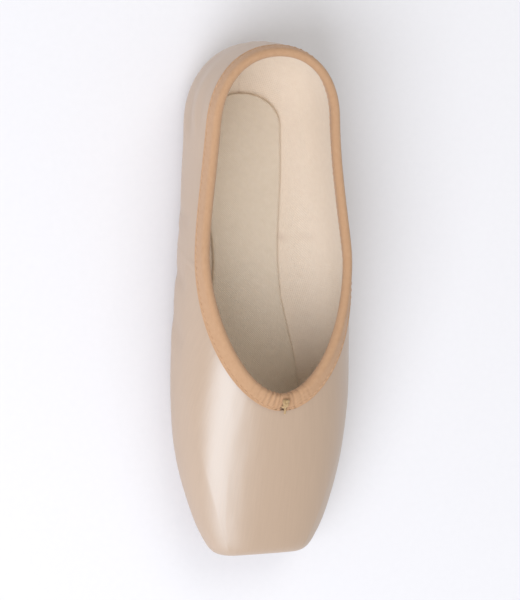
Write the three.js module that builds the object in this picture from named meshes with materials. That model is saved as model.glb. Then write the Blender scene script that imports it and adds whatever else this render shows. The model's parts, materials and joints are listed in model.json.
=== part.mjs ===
// A pointe shoe, empty, standing on its outsole. Millimetres, +Z up.
// The platform under the toes faces -Y and the heel +Y. The shoe is straight-lasted: x = 0 is its mirror.
// A station is the distance back from the platform. Past HEEL_START the stations go round the heel.

import * as THREE from 'three';
import { mergeVertices } from 'three/addons/utils/BufferGeometryUtils.js';

// Overall sizes
const SHOE_LENGTH = 228;
const GAP = 0.3;
const QUARTER_TURN = Math.PI / 2;
const DEGREE = Math.PI / 180;

// Platform and box
const EDGE_RADIUS = 2.2;
const PLATFORM_WALL = 4;
const PLATFORM_CORNER = 45 * DEGREE;
const INNER_FILLET = 2.2;
const INNER_FILLET_REACH = 4;
const BOX_REACH = 60;
const PLEAT_DEPTH = 0.9;
const PLEAT_CREST = 0.25;
const PLEAT_FADE_RIBS = 3;

// Throat and topline
const THROAT = 72;
const TOPLINE_STRAIGHT = 134;
const THROAT_POWER = 1.85;
const TOPLINE_HALF_WIDTH = 34;
const HEEL_TOPLINE_HALF_WIDTH = 28.5;

// Heel, swept round a centre on the mirror plane
const HEEL_START = 190;
const HEEL_SWEEP = 54;
const HEEL_POWER = 2.2;
const HEEL_REACH = SHOE_LENGTH - HEEL_START;
const HEEL_TOPLINE_REACH = 33.8;
const HEEL_BULGE_Z = 28;
const HEEL_TOPLINE_RISE = 5.4;

// Outsole, and the upper's edge that is turned in above it
const SOLE_THICKNESS = 3.2;
const SOLE_TIP = 20;
const SOLE_WIDEST = 62;
const SOLE_HALF_WIDTH = 25;
const SOLE_END_REACH = 14;
const SOLE_TIP_POWER = 2.2;
const SOLE_FLAT_SPARE = 1.6;
const LOWER_BEVEL = 1;
const UPPER_BEVEL = 0.5;
const TURNED_IN = 8;
const FLOOR_WALL = 1.6;
const TIP_POINTS = 12;
const SIDE_POINTS = 15;
const HEEL_POINTS = 8;

// Insole
const INSOLE_THICKNESS = 1.6;
const INSOLE_MARGIN = -1;
const INSOLE_TIP_MARGIN = 4;
const INSOLE_BEVEL = 0.4;

// Binding tape folded over the topline, with the drawstring inside its fold
const BINDING_WIDTH = 5.6;
const BINDING_THICKNESS = 0.8;
const BINDING_FOLD_HEIGHT = 2.1;
const BINDING_BULGE = 0.5;

// Drawstring, knotted on the binding in the middle of the throat, with one short end
const STRING_RADIUS = 0.8;
const KNOT_HALF_WIDTH = 1.9;
const KNOT_HALF_LENGTH = 2.2;
const KNOT_HALF_HEIGHT = 1.4;
const KNOT_FORWARD = 1.5;
const STRING_LIFT = 0.5;
const KNOT_SIDES = 14;
const KNOT_RINGS = 9;
const END_LENGTH = 2.8;
const END_STEPS = 2;
const STRING_SIDES = 4;

// Grid of the upper: ribs run from the turned-in edge up to the topline, rows run round the shoe
const CROSSING_RIBS = 6;
const SIDE_RIBS = 28;
const HALF_RIBS = 36;
const FEATHER_SQUARE_RIB = 21;
const TOPLINE_SQUARE_RIB = 25;
const UNDER_CELLS = 6;
const STRIP_CELLS = 5;
const CROWN_CELLS = 10;
const ROWS_EVEN_FROM = 14;
const RIB_CROWDING = 0.5;
const END_CROWDING = 0.35;
const ARC_SAMPLES = 400;
const MERGE_DISTANCE = 1e-3;
const SMALL_STEP = 0.02;
const RIB_STEP = 0.25;

// Height of the strip's upper line, as an angle in the section, at the toe and behind the wings
const STRIP_TOP_AT_TOE = 45 * DEGREE;
const STRIP_TOP_BEHIND = 6 * DEGREE;
const STRIP_SETTLES = 110;

// Cross-sections of the upper's outside. halfWidth is reached at the height widestZ.
// flatHalf is half of the flat underside. roundness is the power of the section's curve.
const SECTIONS = [
  { at: 0, halfWidth: 21.8, widestZ: 18.8, flatHalf: 9, roundness: 2.6 },
  { at: 5, halfWidth: 24.8, widestZ: 19.1, flatHalf: 10.5, roundness: 2.5 },
  { at: 11, halfWidth: 28.3, widestZ: 19.5, flatHalf: 13, roundness: 2.4 },
  { at: 17, halfWidth: 30.8, widestZ: 19.9, flatHalf: 16, roundness: 2.35 },
  { at: 24, halfWidth: 33.1, widestZ: 20.3, flatHalf: 20, roundness: 2.3 },
  { at: 36, halfWidth: 36.4, widestZ: 21, flatHalf: 24.4, roundness: 2.25 },
  { at: 48, halfWidth: 38.7, widestZ: 21.6, flatHalf: 26.3, roundness: 2.2 },
  { at: 62, halfWidth: 40.1, widestZ: 22, flatHalf: 26.8, roundness: 2.2 },
  { at: 74, halfWidth: 40.7, widestZ: 22.3, flatHalf: 26.2, roundness: 2.2 },
  { at: 86, halfWidth: 40.4, widestZ: 22.8, flatHalf: 24.3, roundness: 2.2 },
  { at: 98, halfWidth: 40, widestZ: 23.8, flatHalf: 21.3, roundness: 2.2 },
  { at: 112, halfWidth: 39.2, widestZ: 25.4, flatHalf: 17.9, roundness: 2.2 },
  { at: 130, halfWidth: 37.7, widestZ: 27, flatHalf: 15.9, roundness: 2.2 },
  { at: 150, halfWidth: 35.5, widestZ: 27.4, flatHalf: 17.2, roundness: 2.2 },
  { at: 170, halfWidth: 33.4, widestZ: 27, flatHalf: 19.1, roundness: 2.2 },
  { at: 190, halfWidth: 31.6, widestZ: 26.6, flatHalf: 19.3, roundness: 2.2 },
];

// Ridge of the vamp along the mirror plane, up to the throat
const CREST = [
  { at: 0, z: 29.2 },
  { at: 5, z: 31.2 },
  { at: 11, z: 33.6 },
  { at: 20, z: 37 },
  { at: 30, z: 40.5 },
  { at: 45, z: 45.2 },
  { at: 60, z: 49.4 },
  { at: 72, z: 52.6 },
];

// Height of the topline from the throat back to the start of the heel
const TOPLINE = [
  { at: 72, z: 52.6 },
  { at: 86, z: 52.4 },
  { at: 98, z: 51.4 },
  { at: 112, z: 49.9 },
  { at: 130, z: 48.3 },
  { at: 150, z: 47.4 },
  { at: 170, z: 48.2 },
  { at: 190, z: 50.4 },
];

// Underside of the upper: the toe's spring, the arch, and flats under the ball and the heel
const UNDERSIDE = [
  { at: 0, z: 8.3 },
  { at: 8, z: 7.3 },
  { at: 20, z: 6.9 },
  { at: 28, z: 6 },
  { at: 38, z: 4.5 },
  { at: 50, z: 3.5 },
  { at: 86, z: 3.5 },
  { at: 104, z: 4.4 },
  { at: 130, z: 6.1 },
  { at: 152, z: 4.8 },
  { at: 170, z: 3.5 },
  { at: 190, z: 3.5 },
];

// Thickness of the upper's wall: stiffened box, vamp, then soft quarters
const WALL = [
  { at: 0, side: 3.4, under: 3 },
  { at: 12, side: 3.2, under: 2.2 },
  { at: 18, side: 3.1, under: 1.6 },
  { at: 60, side: 2.4, under: 1.6 },
  { at: 100, side: 1.6, under: 1.6 },
  { at: 130, side: 1.4, under: 1.6 },
  { at: 190, side: 1.4, under: 1.6 },
];

// Outsole's plan behind its widest place
const SOLE_SIDES = [
  { at: 62, halfWidth: 25 },
  { at: 80, halfWidth: 23.4 },
  { at: 100, halfWidth: 18.9 },
  { at: 116, halfWidth: 15.3 },
  { at: 132, halfWidth: 14.2 },
  { at: 150, halfWidth: 15.5 },
  { at: 170, halfWidth: 17.5 },
  { at: 190, halfWidth: 17.7 },
];

const mix = (from, to, share) => from + (to - from) * share;
const eased = (share) => share * share * (3 - 2 * share);
const within = (value, low, high) => Math.min(high, Math.max(low, value));
const crowded = (share, amount) => (1 - amount) * share + amount * share ** 2;

// A smooth curve through a table's rows that never swings past them
function curveThrough(rows, column) {
  const last = rows.length - 1;
  const secant = (k) => (rows[k + 1][column] - rows[k][column]) / (rows[k + 1].at - rows[k].at);
  const slopes = rows.map((row, k) => {
    const before = secant(Math.max(0, k - 1));
    const after = secant(Math.min(last - 1, k));
    const turns = before * after <= 0;
    return turns ? 0 : (2 * before * after) / (before + after);
  });
  return (at) => {
    const inside = within(at, rows[0].at, rows[last].at);
    const next = Math.max(1, rows.findIndex((row) => row.at >= inside));
    const low = rows[next - 1];
    const high = rows[next];
    const span = high.at - low.at;
    const t = (inside - low.at) / span;
    const rise = mix(low[column], high[column], eased(t));
    const lean = slopes[next - 1] * (1 - t) - slopes[next] * t;
    return rise + span * t * (1 - t) * lean;
  };
}

const halfWidthAt = curveThrough(SECTIONS, 'halfWidth');
const widestZAt = curveThrough(SECTIONS, 'widestZ');
const flatHalfAt = curveThrough(SECTIONS, 'flatHalf');
const roundnessAt = curveThrough(SECTIONS, 'roundness');
const crestZAt = curveThrough(CREST, 'z');
const toplineZAt = curveThrough(TOPLINE, 'z');
const undersideZAt = curveThrough(UNDERSIDE, 'z');
const sideWallAt = curveThrough(WALL, 'side');
const underWallAt = curveThrough(WALL, 'under');
const soleSideAt = curveThrough(SOLE_SIDES, 'halfWidth');

// Distance from the heel's centre to a round outline, across at no turn and along at a quarter turn
function endRadius(across, along, turn) {
  const side = (Math.abs(Math.cos(turn)) / across) ** HEEL_POWER;
  const back = (Math.abs(Math.sin(turn)) / along) ** HEEL_POWER;
  return (side + back) ** (-1 / HEEL_POWER);
}
const heelTurn = (at) => (Math.max(0, at - HEEL_START) / HEEL_SWEEP) * QUARTER_TURN;

// Half of the opening's width in plan: a round throat, then nearly straight sides
function toplineHalfWidth(at) {
  const straight = within((at - TOPLINE_STRAIGHT) / (HEEL_START - TOPLINE_STRAIGHT), 0, 1);
  const narrowing = mix(straight, eased(straight), 1 / 2);
  const side = mix(TOPLINE_HALF_WIDTH, HEEL_TOPLINE_HALF_WIDTH, narrowing);
  const ahead = within((TOPLINE_STRAIGHT - at) / (TOPLINE_STRAIGHT - THROAT), 0, 1);
  return side * (1 - ahead ** THROAT_POWER) ** (1 / THROAT_POWER);
}

// Half of a sole-shaped outline in plan, set in from the outsole's edge by a margin
function soleHalfWidth(at, margin) {
  const widest = SOLE_HALF_WIDTH - margin;
  if (at >= SOLE_WIDEST) {
    return soleSideAt(at) - margin;
  }
  const ahead = within((SOLE_WIDEST - at) / (SOLE_WIDEST - SOLE_TIP - margin), 0, 1);
  return widest * (1 - ahead ** SOLE_TIP_POWER) ** (1 / SOLE_TIP_POWER);
}

const featherHalfWidth = (at) => soleHalfWidth(at, TURNED_IN);

// The wall's inside starts behind the platform's thickness and catches up with the outside in the box
function insideStation(at) {
  const ahead = within(1 - at / BOX_REACH, 0, 1);
  return at + PLATFORM_WALL * ahead ** 2;
}

// How far a rounded edge pulls the section in, close to the platform
function edgeInset(at, radius, reach) {
  const ahead = within(1 - at / reach, 0, 1);
  return radius * (1 - Math.sqrt(1 - ahead ** 2));
}

// All sizes of one section, of the upper's outside or of its inside
function section(at, inside) {
  const along = inside ? insideStation(at) : at;
  const body = Math.min(along, HEEL_START);
  const turn = heelTurn(along);
  const round = Math.sin(turn);
  const roundness = roundnessAt(body);
  const halfWidth = endRadius(halfWidthAt(body), HEEL_REACH, turn);
  const widestZ = mix(widestZAt(body), HEEL_BULGE_Z, round);
  const opening = endRadius(toplineHalfWidth(body) || GAP, HEEL_TOPLINE_REACH, turn);
  const openingShare = body > THROAT ? opening / halfWidth : 0;
  const toplineZ = toplineZAt(body) + HEEL_TOPLINE_RISE * round;
  const closing = (1 - openingShare ** roundness) ** (1 / roundness);
  const crownZ = body > THROAT ? widestZ + (toplineZ - widestZ) / closing : crestZAt(body);
  const edge = inside
    ? edgeInset(at, INNER_FILLET, INNER_FILLET_REACH)
    : edgeInset(at, EDGE_RADIUS, EDGE_RADIUS);
  const side = inside ? sideWallAt(at) : 0;
  const under = inside ? underWallAt(at) : 0;
  return {
    turn,
    centre: body,
    roundness,
    widestZ,
    halfWidth: halfWidth - side - edge,
    crownZ: crownZ - side - edge,
    undersideZ: undersideZAt(body) + under + edge,
    flatHalf: endRadius(flatHalfAt(body), SOLE_END_REACH + SOLE_FLAT_SPARE, turn),
    toplineAngle: Math.acos(openingShare ** (roundness / 2)),
  };
}

// A point of a section, by its distance from the section's centre line and its height
function place(cut, radius, z) {
  const x = radius * Math.cos(cut.turn);
  const y = cut.centre + radius * Math.sin(cut.turn) - SHOE_LENGTH / 2;
  return new THREE.Vector3(x, y, z);
}

// A point of the upper's form: the angle is 0 where it is widest, positive above and negative below
function formPoint(at, angle, inside) {
  const cut = section(at, inside);
  const power = 2 / cut.roundness;
  const out = Math.abs(Math.cos(angle)) ** power;
  const up = Math.abs(Math.sin(angle)) ** power;
  if (angle >= 0) {
    return place(cut, cut.halfWidth * out, mix(cut.widestZ, cut.crownZ, up));
  }
  const radius = mix(cut.flatHalf, cut.halfWidth, out);
  return place(cut, radius, mix(cut.widestZ, cut.undersideZ, up));
}

// A point of the underside, by its distance from the centre line
function undersidePoint(at, radius, inside) {
  const cut = section(at, inside);
  const out = within((radius - cut.flatHalf) / (cut.halfWidth - cut.flatHalf), 0, 1);
  const up = (1 - out ** cut.roundness) ** (1 / cut.roundness);
  return place(cut, radius, mix(cut.widestZ, cut.undersideZ, up));
}

// Distance from the centre line of a point of the section at an angle, below or above the widest place
function radiusBelow(at, angle, inside) {
  const cut = section(at, inside);
  return mix(cut.flatHalf, cut.halfWidth, Math.cos(angle) ** (2 / cut.roundness));
}

// Stations spread along one side of an opening, by the share of its length
function stationsAlong(halfWidth, from, to) {
  const samples = [{ at: from, half: halfWidth(from), length: 0 }];
  for (let k = 1; k <= ARC_SAMPLES; k += 1) {
    const before = samples[k - 1];
    const at = mix(from, to, (k / ARC_SAMPLES) ** 2);
    const half = halfWidth(at);
    const length = before.length + Math.hypot(at - before.at, half - before.half);
    samples.push({ at, half, length });
  }
  const total = samples[ARC_SAMPLES].length;
  return (share) => {
    const next = Math.max(1, samples.findIndex((sample) => sample.length >= share * total));
    const low = samples[next - 1];
    const high = samples[next];
    return mix(low.at, high.at, (share * total - low.length) / (high.length - low.length));
  };
}

// Station of a rib where it passes the widest place of the shoe
function ribStation(rib) {
  if (rib <= CROSSING_RIBS) {
    return 0;
  }
  if (rib <= SIDE_RIBS) {
    const share = (rib - CROSSING_RIBS - 1) / (SIDE_RIBS - CROSSING_RIBS - 1);
    return mix(EDGE_RADIUS, HEEL_START, crowded(share, RIB_CROWDING));
  }
  return HEEL_START + (HEEL_SWEEP * (rib - SIDE_RIBS)) / (HALF_RIBS - SIDE_RIBS);
}

const featherStations = stationsAlong(featherHalfWidth, SOLE_TIP + TURNED_IN, ribStation(FEATHER_SQUARE_RIB));
const toplineStations = stationsAlong(toplineHalfWidth, THROAT, ribStation(TOPLINE_SQUARE_RIB));

function featherStation(rib) {
  const share = rib / FEATHER_SQUARE_RIB;
  return share < 1 ? featherStations(crowded(share, END_CROWDING)) : ribStation(rib);
}

function toplineStation(rib) {
  const share = rib / TOPLINE_SQUARE_RIB;
  return share < 1 ? toplineStations(crowded(share, END_CROWDING)) : ribStation(rib);
}

function featherRadius(at) {
  const end = SOLE_END_REACH - TURNED_IN;
  return endRadius(featherHalfWidth(Math.min(at, HEEL_START)) || GAP / ARC_SAMPLES, end, heelTurn(at));
}

// Upper line of the side strip, which is the platform's upper corner at the toe
function stripTop(at) {
  return mix(STRIP_TOP_AT_TOE, STRIP_TOP_BEHIND, eased(within(at / STRIP_SETTLES, 0, 1)));
}

// Shares of a rib's rows: even, with one row held at the platform's edge on the ribs near it
function rowShares(cells, edgeShare, rib) {
  const settle = eased(within((rib - CROSSING_RIBS - 1) / (ROWS_EVEN_FROM - CROSSING_RIBS), 0, 1));
  const shares = [0];
  for (let row = 1; row <= cells; row += 1) {
    const even = row / cells;
    const held = mix(edgeShare, 1, (row - 1) / (cells - 1));
    shares.push(mix(held, even, settle));
  }
  return shares;
}

// Folds of satin drawn in under the toe: alternate ribs sink and stand, between the outsole and the platform
function pleat(rib, at) {
  const reach = within((SOLE_TIP - at) / SOLE_TIP, 0, 1);
  const strength = Math.sqrt(Math.abs(Math.sin(Math.PI * reach)));
  const fades = within(1 - (rib - CROSSING_RIBS) / PLEAT_FADE_RIBS, 0, 1);
  const depth = rib % 2 === 1 ? PLEAT_DEPTH : -PLEAT_CREST;
  return depth * strength * fades;
}

// Rows of the underside, from the platform's lower edge or the side strip in to the turned-in edge
function underRows(rib, inside) {
  const edgeAt = ribStation(rib);
  const across = Math.min(1, rib / CROSSING_RIBS);
  const edgeRadius = radiusBelow(edgeAt, PLATFORM_CORNER, inside) * across;
  const endAt = featherStation(rib);
  const innerRadius = rib === 0 ? 0 : featherRadius(endAt);
  const shares = rowShares(UNDER_CELLS, EDGE_RADIUS / endAt, rib);
  return shares.map((share) => {
    const at = mix(edgeAt, endAt, share);
    const point = undersidePoint(at, mix(edgeRadius, innerRadius, share), inside);
    point.z += inside ? 0 : pleat(rib, at);
    return point;
  }).reverse();
}

// Angle in the platform's outline of a rib's upper end
function platformTopAngle(rib) {
  const cut = section(0, false);
  const share = (rib / CROSSING_RIBS) * Math.cos(PLATFORM_CORNER) ** (2 / cut.roundness);
  return Math.acos(share ** (cut.roundness / 2));
}

// Rows of the crown, from the platform's upper edge or the side strip up to the topline
function crownRows(rib, inside) {
  const startAt = ribStation(rib);
  const startAngle = rib < CROSSING_RIBS ? platformTopAngle(rib) : stripTop(startAt);
  const endAt = toplineStation(rib);
  const endAngle = section(endAt, false).toplineAngle;
  const shares = rowShares(CROWN_CELLS, EDGE_RADIUS / endAt, rib);
  return shares.map((share) => {
    return formPoint(mix(startAt, endAt, share), mix(startAngle, endAngle, share), inside);
  });
}

// Rows across the platform for the ribs that cross it, stretched over the platform's outline
function platformRows(rib, inside, under, crown) {
  const across = rib / CROSSING_RIBS;
  const lowCorner = formPoint(0, -PLATFORM_CORNER, inside);
  const highCorner = formPoint(0, STRIP_TOP_AT_TOE, inside);
  const lowMiddle = undersidePoint(0, 0, inside);
  const highMiddle = formPoint(0, QUARTER_TURN, inside);
  const rows = [];
  for (let row = 0; row <= STRIP_CELLS; row += 1) {
    const up = row / STRIP_CELLS;
    const middle = lowMiddle.clone().lerp(highMiddle, up);
    const rim = formPoint(0, mix(-PLATFORM_CORNER, STRIP_TOP_AT_TOE, up), inside);
    const lowRow = lowMiddle.clone().lerp(lowCorner, across);
    const highRow = highMiddle.clone().lerp(highCorner, across);
    const point = under.clone().lerp(crown, up);
    point.add(middle.lerp(rim, across));
    point.sub(lowRow.lerp(highRow, up));
    rows.push(point);
  }
  return rows;
}

// Rows of the side strip, which passes the widest place of the shoe
function stripRows(rib, inside) {
  const at = ribStation(rib);
  const rows = [];
  for (let row = 0; row <= STRIP_CELLS; row += 1) {
    const angle = mix(-PLATFORM_CORNER, stripTop(at), row / STRIP_CELLS);
    rows.push(formPoint(at, angle, inside));
  }
  return rows;
}

// One rib of the upper's outside or inside, from the turned-in edge to the topline
function ribPoints(rib, inside) {
  const under = underRows(rib, inside);
  const crown = crownRows(rib, inside);
  const strip = rib < CROSSING_RIBS
    ? platformRows(rib, inside, under[UNDER_CELLS], crown[0])
    : stripRows(rib, inside);
  return [...under, ...strip.slice(1, -1), ...crown];
}

const mirrored = (point) => new THREE.Vector3(-point.x, point.y, point.z);

// Adds the mirrored half to a list of closed cross-sections that goes from the toe round one side to the heel
function bothSides(half) {
  const otherSide = half.slice(1, -1).reverse().map((points) => points.map(mirrored));
  return [...half, ...otherSide];
}

// Turns triangles of points into a closed body whose faces point out
function solidFrom(triangles) {
  const flat = triangles.flat().flatMap((point) => point.toArray());
  const loose = new THREE.BufferGeometry();
  loose.setAttribute('position', new THREE.Float32BufferAttribute(flat, 3));
  const merged = mergeVertices(loose, MERGE_DISTANCE);
  const position = merged.getAttribute('position');
  const index = Array.from(merged.getIndex().array);
  const kept = [];
  let volume = 0;
  const corners = [new THREE.Vector3(), new THREE.Vector3(), new THREE.Vector3()];
  for (let k = 0; k < index.length; k += 3) {
    const [a, b, c] = index.slice(k, k + 3);
    if (a !== b && b !== c && c !== a) {
      kept.push(a, b, c);
      [a, b, c].forEach((vertex, corner) => corners[corner].fromBufferAttribute(position, vertex));
      volume += corners[0].dot(corners[1].clone().cross(corners[2]));
    }
  }
  merged.setIndex(volume > 0 ? kept : kept.reverse());
  merged.computeVertexNormals();
  return merged;
}

// Two triangles for a cell, split along its shorter diagonal
function cell(a, b, c, d) {
  const alongFirst = a.distanceTo(c) <= b.distanceTo(d);
  return alongFirst ? [[a, b, c], [a, c, d]] : [[a, b, d], [b, c, d]];
}

// A tube of closed cross-sections that joins up with itself
function closedLoop(crossSections) {
  const triangles = [];
  crossSections.forEach((points, k) => {
    const next = crossSections[(k + 1) % crossSections.length];
    points.forEach((point, j) => {
      const beside = (j + 1) % points.length;
      triangles.push(...cell(point, points[beside], next[beside], next[j]));
    });
  });
  return solidFrom(triangles);
}

function upperGeometry() {
  const half = [];
  for (let rib = 0; rib <= HALF_RIBS; rib += 1) {
    half.push([...ribPoints(rib, false), ...ribPoints(rib, true).reverse()]);
  }
  return closedLoop(bothSides(half));
}

// A point of the topline. Ribs count from the throat, and the ones before it are on the other side.
function toplinePoint(rib, inside) {
  const at = toplineStation(Math.abs(rib));
  const point = formPoint(at, section(at, false).toplineAngle, inside);
  return rib < 0 ? mirrored(point) : point;
}

// How the form runs at a point: along the shoe, up round the section, and straight out of the wall
function formDirections(at, angle, inside) {
  const here = formPoint(at, angle, inside);
  const along = here.clone().sub(formPoint(at - SMALL_STEP, angle, inside)).divideScalar(SMALL_STEP);
  const up = here.clone().sub(formPoint(at, angle - SMALL_STEP, inside)).divideScalar(SMALL_STEP);
  const outward = along.clone().cross(up).normalize();
  return { here, along, up, outward };
}

// A point at a distance down the wall from the topline, square to it, raised off the wall's face by a lift
function besideTopline(rib, distance, lift, inside) {
  const at = toplineStation(rib);
  const angle = section(at, false).toplineAngle;
  const edge = toplinePoint(rib + RIB_STEP, inside).sub(toplinePoint(rib - RIB_STEP, inside)).normalize();
  const { along, up } = formDirections(at, angle, inside);
  const alongShare = up.dot(edge);
  const upShare = -along.dot(edge);
  const square = along.multiplyScalar(alongShare).addScaledVector(up, upShare);
  const scale = (-Math.sign(square.z) * distance) / square.length();
  const there = formDirections(at + alongShare * scale, angle + upShare * scale, inside);
  return there.here.addScaledVector(there.outward, inside ? -lift : lift);
}

// Closed cross-section of the binding: a leg on each face of the wall and a round fold over its edge
function bindingSection(rib) {
  const middle = BINDING_WIDTH / 2;
  const skin = GAP + BINDING_THICKNESS;
  const leg = (distance, lift, inside) => besideTopline(rib, distance, lift, inside);
  const outerEdge = toplinePoint(rib, false);
  const innerEdge = toplinePoint(rib, true);
  const across = outerEdge.clone().sub(innerEdge);
  const halfWall = across.length() / 2;
  const centre = outerEdge.clone().add(innerEdge).multiplyScalar(1 / 2);
  across.normalize();
  const above = centre.clone().sub(leg(middle, 0, false).add(leg(middle, 0, true)).multiplyScalar(1 / 2));
  above.addScaledVector(across, -above.dot(across)).normalize();
  const fold = (angle) => centre.clone()
    .addScaledVector(across, (halfWall + skin + BINDING_BULGE) * Math.cos(angle))
    .addScaledVector(above, BINDING_FOLD_HEIGHT * Math.sin(angle));
  const slot = (side) => centre.clone()
    .addScaledVector(across, side * (halfWall + GAP))
    .addScaledVector(above, GAP);
  const folds = [0, 1, 2, 3, 4].map((k) => fold((k * QUARTER_TURN) / 2));
  return [
    leg(BINDING_WIDTH, GAP, false),
    leg(BINDING_WIDTH, skin, false),
    leg(middle, skin, false),
    ...folds,
    leg(middle, skin, true),
    leg(BINDING_WIDTH, skin, true),
    leg(BINDING_WIDTH, GAP, true),
    leg(middle, GAP, true),
    slot(-1),
    slot(1),
    leg(middle, GAP, false),
  ];
}

function bindingGeometry() {
  const half = [];
  for (let rib = 0; rib <= HALF_RIBS; rib += 1) {
    half.push(bindingSection(rib));
  }
  return closedLoop(bothSides(half));
}

// Half of a sole-shaped outline from its tip to the middle of the heel end, set in by a margin
function soleOutline(margin, tipMargin) {
  const tip = SOLE_TIP + tipMargin;
  const points = [];
  for (let k = 0; k <= TIP_POINTS; k += 1) {
    const angle = (QUARTER_TURN * k) / TIP_POINTS;
    const power = 2 / SOLE_TIP_POWER;
    const at = SOLE_WIDEST - (SOLE_WIDEST - tip) * Math.abs(Math.cos(angle)) ** power;
    points.push({ x: (SOLE_HALF_WIDTH - margin) * Math.sin(angle) ** power, at });
  }
  for (let k = 1; k < SIDE_POINTS; k += 1) {
    const at = mix(SOLE_WIDEST, HEEL_START, k / SIDE_POINTS);
    points.push({ x: soleHalfWidth(at, margin), at });
  }
  for (let k = 0; k <= HEEL_POINTS; k += 1) {
    const angle = (QUARTER_TURN * k) / HEEL_POINTS;
    const x = soleHalfWidth(HEEL_START, margin) * Math.cos(angle);
    points.push({ x, at: HEEL_START + (SOLE_END_REACH - margin) * Math.sin(angle) });
  }
  points[0].x = 0;
  points[points.length - 1].x = 0;
  return points;
}

// A plate whose edge is a stack of outlines, each with a margin and a height over the station
function plate(levels) {
  const rings = levels.map(({ margin, tipMargin = margin, height }) => {
    return soleOutline(margin, tipMargin).map(({ x, at }) => {
      return new THREE.Vector3(x, at - SHOE_LENGTH / 2, height(at));
    });
  });
  const triangles = [];
  const fillBetween = (half) => {
    for (let k = 0; k < half.length - 1; k += 1) {
      triangles.push(...cell(half[k], half[k + 1], mirrored(half[k + 1]), mirrored(half[k])));
    }
  };
  fillBetween([...rings[0]].reverse());
  fillBetween(rings[rings.length - 1]);
  for (let level = 0; level < rings.length - 1; level += 1) {
    const low = rings[level];
    const high = rings[level + 1];
    for (let k = 0; k < low.length - 1; k += 1) {
      triangles.push(...cell(low[k], low[k + 1], high[k + 1], high[k]));
      const [a, b, c, d] = [low[k], low[k + 1], high[k + 1], high[k]].map(mirrored);
      triangles.push(...cell(d, c, b, a));
    }
  }
  return solidFrom(triangles);
}

const soleTopZ = (at) => undersideZAt(at) - GAP;
const soleFloorZ = (at) => soleTopZ(at) - SOLE_THICKNESS;
const insoleFloorZ = (at) => undersideZAt(at) + FLOOR_WALL + GAP;

function outsoleGeometry() {
  return plate([
    { margin: LOWER_BEVEL, height: soleFloorZ },
    { margin: 0, height: (at) => soleFloorZ(at) + LOWER_BEVEL },
    { margin: 0, height: (at) => soleTopZ(at) - UPPER_BEVEL },
    { margin: UPPER_BEVEL, height: soleTopZ },
  ]);
}

function insoleGeometry() {
  const edge = { margin: INSOLE_MARGIN, tipMargin: INSOLE_TIP_MARGIN };
  const topEdge = { margin: INSOLE_MARGIN + INSOLE_BEVEL, tipMargin: INSOLE_TIP_MARGIN + INSOLE_BEVEL };
  return plate([
    { ...edge, height: insoleFloorZ },
    { ...edge, height: (at) => insoleFloorZ(at) + INSOLE_THICKNESS - INSOLE_BEVEL },
    { ...topEdge, height: (at) => insoleFloorZ(at) + INSOLE_THICKNESS },
  ]);
}

// A point over the binding in the middle of the throat, and the direction out of the vamp there
function overThroat(forward, height) {
  const { here, outward } = formDirections(THROAT - forward, QUARTER_TURN, false);
  const lift = GAP + BINDING_THICKNESS + STRING_LIFT + height;
  return { point: here.addScaledVector(outward, lift), outward };
}

function stringEndGeometry() {
  const start = overThroat(KNOT_FORWARD + KNOT_HALF_LENGTH + GAP, STRING_RADIUS).point;
  const end = overThroat(KNOT_FORWARD + KNOT_HALF_LENGTH + GAP + END_LENGTH, STRING_RADIUS).point;
  const round = new THREE.Shape().absarc(0, 0, STRING_RADIUS, 0, 2 * Math.PI);
  const extrudePath = new THREE.LineCurve3(start, end);
  return new THREE.ExtrudeGeometry(round, { steps: END_STEPS, curveSegments: STRING_SIDES, extrudePath });
}

const shoe = new THREE.Group();

// Adds a named piece to the shoe
function addPiece(name, geometry, color, roughness) {
  const material = new THREE.MeshStandardMaterial({ color, roughness, metalness: 0 });
  const mesh = new THREE.Mesh(geometry, material);
  mesh.name = name;
  shoe.add(mesh);
  return mesh;
}

addPiece('upper', upperGeometry(), 0xe0cfc2, 0.42);
addPiece('outsole', outsoleGeometry(), 0xdacec5, 0.8);
addPiece('insole', insoleGeometry(), 0xe4d8ca, 0.9);
addPiece('binding', bindingGeometry(), 0xdab48c, 0.8);

const knot = addPiece('drawstring_knot', new THREE.SphereGeometry(1, KNOT_SIDES, KNOT_RINGS), 0xbea06e, 0.85);
const knotSeat = overThroat(KNOT_FORWARD, KNOT_HALF_HEIGHT);
knot.scale.set(KNOT_HALF_WIDTH, KNOT_HALF_LENGTH, KNOT_HALF_HEIGHT);
knot.position.copy(knotSeat.point);
knot.quaternion.setFromUnitVectors(new THREE.Vector3(0, 0, 1), knotSeat.outward);

addPiece('drawstring_end', stringEndGeometry(), 0xbea06e, 0.85);

export default shoe;
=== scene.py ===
# %% [markdown]
# # A satin pointe shoe
# A pointe shoe is a soft satin slipper built round a stiff glued box with a flat tip, the platform. This
# lesson dresses the plain solids of such a shoe: satin, folded binding tape, a knotted drawstring, a leather
# outsole and a cotton sock. The solids stay as they are. Where cloth has to fold, a copy of a solid is merged,
# smoothed and creased, and stands in for it.

# %% Start
import json
import math

import bpy
import numpy as np
from mathutils import Matrix, Vector
from mathutils.bvhtree import BVHTree

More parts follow.
